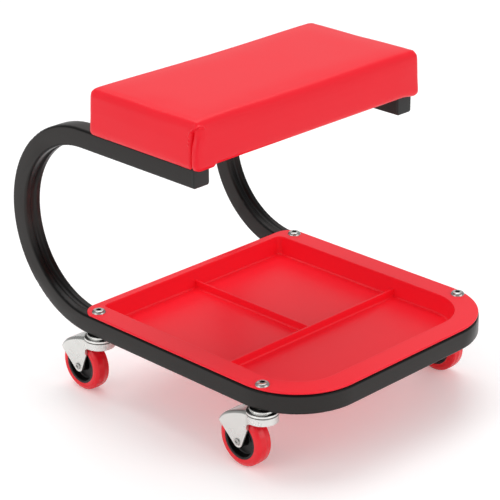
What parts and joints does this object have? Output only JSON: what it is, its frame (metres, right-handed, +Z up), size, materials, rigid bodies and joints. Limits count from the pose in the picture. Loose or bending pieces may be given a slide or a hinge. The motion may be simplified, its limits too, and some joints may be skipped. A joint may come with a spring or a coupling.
{
  "type": "creeper seat",
  "caption": "Low padded workshop seat on a bent square-tube frame, with a divided tool tray in its base and swivel casters.",
  "frame": {"origin": "on the floor under the middle of the frame's width and length", "axes": "+X to the right as seen from the tray's open front, +Y from the front of the tray to the back of the side bends, +Z up"},
  "size_m": [0.3886, 0.499, 0.4134],
  "materials": {
    "frame_paint": "semi-gloss black powder coat",
    "tray_plastic": "moulded, soft sheen",
    "seat_vinyl": "smooth vinyl, satin",
    "foam": "open-cell foam, matte",
    "plywood": "bare plywood",
    "cap_plastic": "moulded, fine grain",
    "zinc_plate": "bright zinc plate",
    "steel": "polished hard steel",
    "hub_plastic": "moulded, satin",
    "tyre_red": "smooth urethane tread"
  },
  "bodies": {
    "frame": {"frame_tube": "frame_paint", "left_arm_cap": "cap_plastic", "right_arm_cap": "cap_plastic", "tool_tray": "tray_plastic", "seat_board": "plywood", "seat_foam": "foam", "seat_cover": "seat_vinyl", "cover_staples": "steel", "seat_bolts": "zinc_plate", "seat_washers": "zinc_plate", "seat_tee_nuts": "zinc_plate", "caster_bolts": "zinc_plate", "caster_nuts": "zinc_plate", "front_left_raceway_cap": "zinc_plate", "front_left_kingpin": "zinc_plate", "front_left_lower_race": "zinc_plate", "front_left_lower_balls": "steel", "front_right_raceway_cap": "zinc_plate", "front_right_kingpin": "zinc_plate", "front_right_lower_race": "zinc_plate", "front_right_lower_balls": "steel", "rear_left_raceway_cap": "zinc_plate", "rear_left_kingpin": "zinc_plate", "rear_left_lower_race": "zinc_plate", "rear_left_lower_balls": "steel", "rear_right_raceway_cap": "zinc_plate", "rear_right_kingpin": "zinc_plate", "rear_right_lower_race": "zinc_plate", "rear_right_lower_balls": "steel"},
    "front_left_swivel": {"front_left_fork": "zinc_plate", "front_left_upper_balls": "steel", "front_left_axle": "zinc_plate", "front_left_bush": "steel"},
    "front_left_wheel": {"front_left_hub": "hub_plastic", "front_left_tyre": "tyre_red"},
    "front_right_swivel": {"front_right_fork": "zinc_plate", "front_right_upper_balls": "steel", "front_right_axle": "zinc_plate", "front_right_bush": "steel"},
    "front_right_wheel": {"front_right_hub": "hub_plastic", "front_right_tyre": "tyre_red"},
    "rear_left_swivel": {"rear_left_fork": "zinc_plate", "rear_left_upper_balls": "steel", "rear_left_axle": "zinc_plate", "rear_left_bush": "steel"},
    "rear_left_wheel": {"rear_left_hub": "hub_plastic", "rear_left_tyre": "tyre_red"},
    "rear_right_swivel": {"rear_right_fork": "zinc_plate", "rear_right_upper_balls": "steel", "rear_right_axle": "zinc_plate", "rear_right_bush": "steel"},
    "rear_right_wheel": {"rear_right_hub": "hub_plastic", "rear_right_tyre": "tyre_red"}
  },
  "joints": [
    {"name": "front_left_swivel_turn", "type": "hinge", "parent": "frame", "child": "front_left_swivel", "pos_m": [-0.1748, -0.1785, 0.0765], "axis": [0, 0, 1], "continuous": true},
    {"name": "front_left_wheel_spin", "type": "hinge", "parent": "front_left_swivel", "child": "front_left_wheel", "pos_m": [-0.1748, -0.151, 0.034], "axis": [1, 0, 0], "continuous": true},
    {"name": "front_right_swivel_turn", "type": "hinge", "parent": "frame", "child": "front_right_swivel", "pos_m": [0.1748, -0.1785, 0.0765], "axis": [0, 0, 1], "continuous": true},
    {"name": "front_right_wheel_spin", "type": "hinge", "parent": "front_right_swivel", "child": "front_right_wheel", "pos_m": [0.1748, -0.151, 0.034], "axis": [1, 0, 0], "continuous": true},
    {"name": "rear_left_swivel_turn", "type": "hinge", "parent": "frame", "child": "rear_left_swivel", "pos_m": [-0.1748, 0.1055, 0.0765], "axis": [0, 0, 1], "continuous": true},
    {"name": "rear_left_wheel_spin", "type": "hinge", "parent": "rear_left_swivel", "child": "rear_left_wheel", "pos_m": [-0.1748, 0.133, 0.034], "axis": [1, 0, 0], "continuous": true},
    {"name": "rear_right_swivel_turn", "type": "hinge", "parent": "frame", "child": "rear_right_swivel", "pos_m": [0.1748, 0.1055, 0.0765], "axis": [0, 0, 1], "continuous": true},
    {"name": "rear_right_wheel_spin", "type": "hinge", "parent": "rear_right_swivel", "child": "rear_right_wheel", "pos_m": [0.1748, 0.133, 0.034], "axis": [1, 0, 0], "continuous": true}
  ]
}
